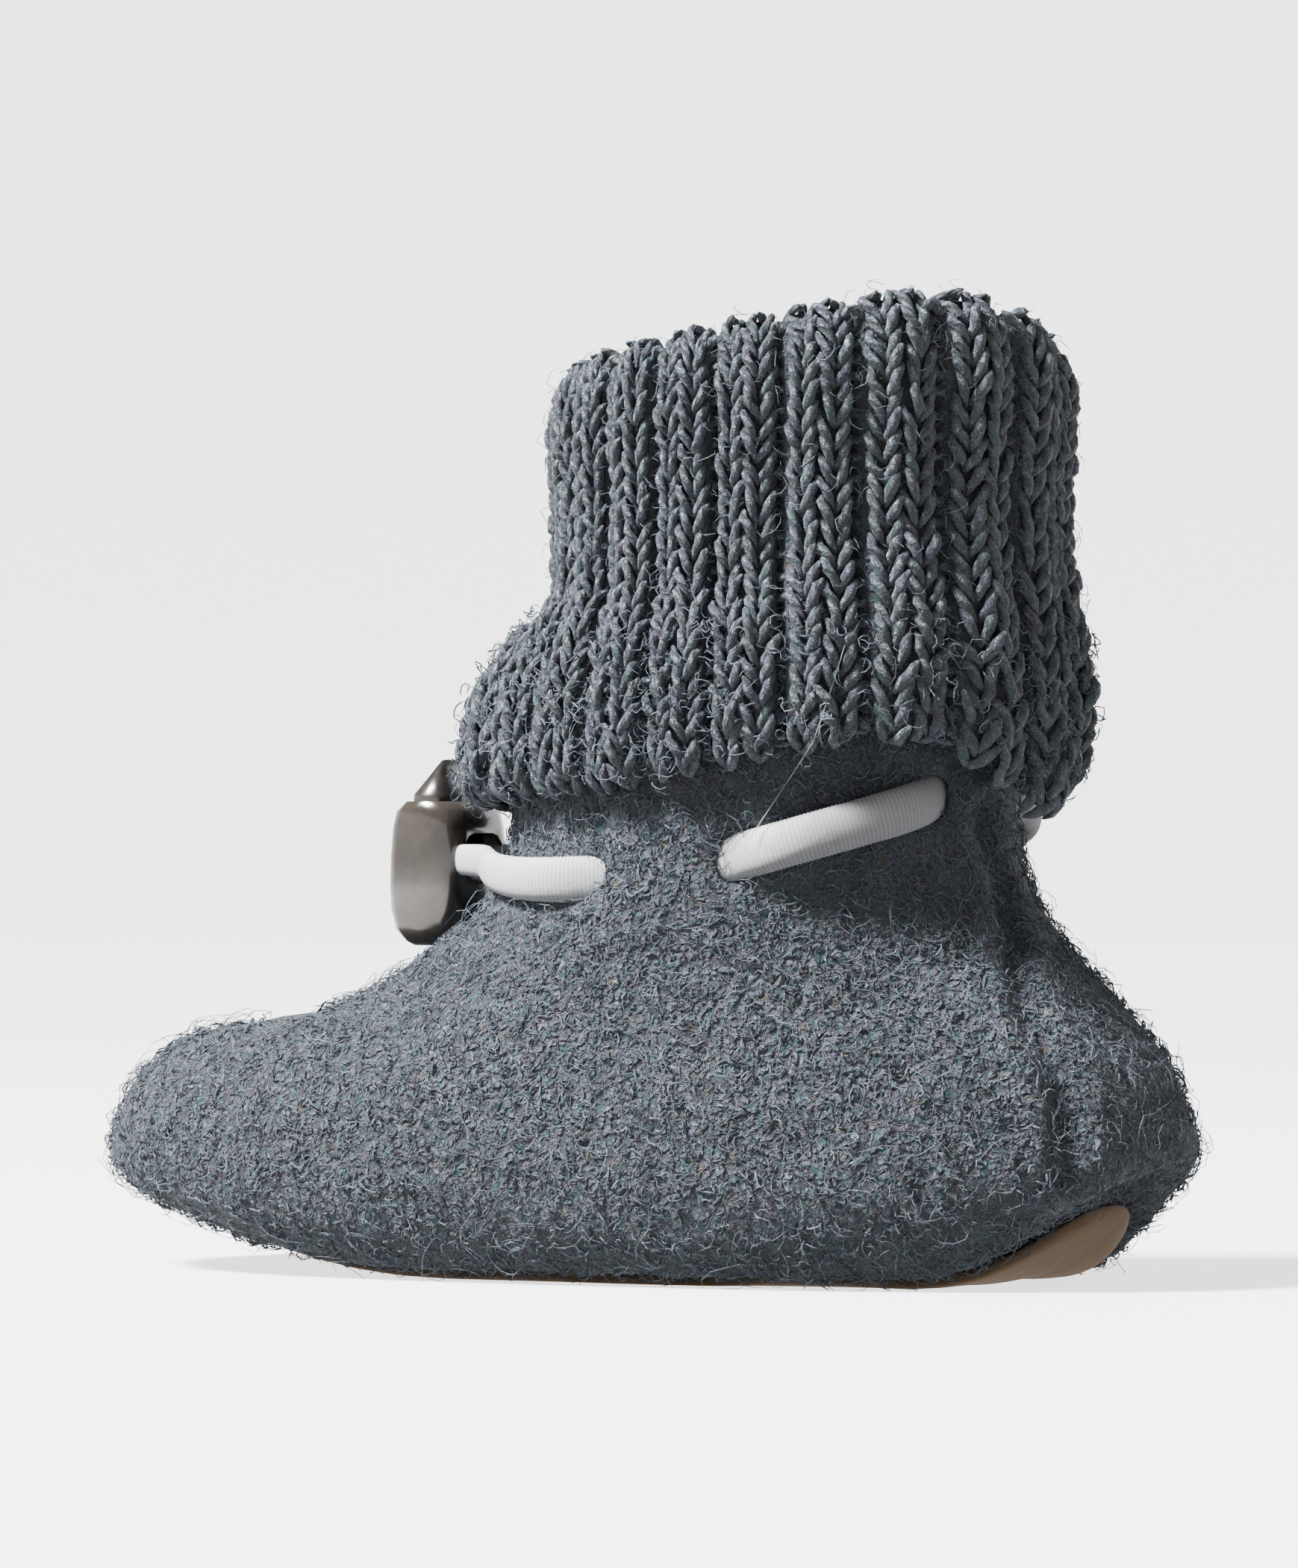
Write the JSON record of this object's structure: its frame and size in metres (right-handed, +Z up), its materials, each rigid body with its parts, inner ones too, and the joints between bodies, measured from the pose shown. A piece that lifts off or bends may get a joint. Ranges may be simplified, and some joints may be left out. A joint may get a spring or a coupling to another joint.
{
  "type": "baby slipper",
  "caption": "Felted wool baby bootie slipper with a folded rib-knit cuff, a soft suede sole and an elastic drawcord closed by a press-button cord lock.",
  "frame": {"origin": "on the floor plane, on the flat underside of the sole, under the middle of the shoe's length", "axes": "+X to the toe, +Y to the shoe's left side, +Z up"},
  "size_m": [0.125, 0.0594, 0.1015],
  "materials": {
    "felt": "felted wool, heathered blue-grey, hairy",
    "knit": "wool rib knit, heathered blue-grey",
    "suede": "napped suede, ochre, a few dark specks",
    "insole_felt": "wool felt",
    "elastic": "white elastic with fine crosswise ribs",
    "smoke_plastic": "smoke-brown translucent, glossy"
  },
  "bodies": {
    "slipper": {"upper": "felt", "sole": "suede", "insole": "insole_felt", "cuff": "knit", "drawcord": "elastic", "toggle_body": "smoke_plastic"},
    "button": {"toggle_button": "smoke_plastic"}
  },
  "joints": [
    {"name": "button_press", "type": "slide", "parent": "slipper", "child": "button", "axis": [0, 0, -1], "range_m": [0, 0.0024], "stiffness_N_per_m": 400}
  ]
}
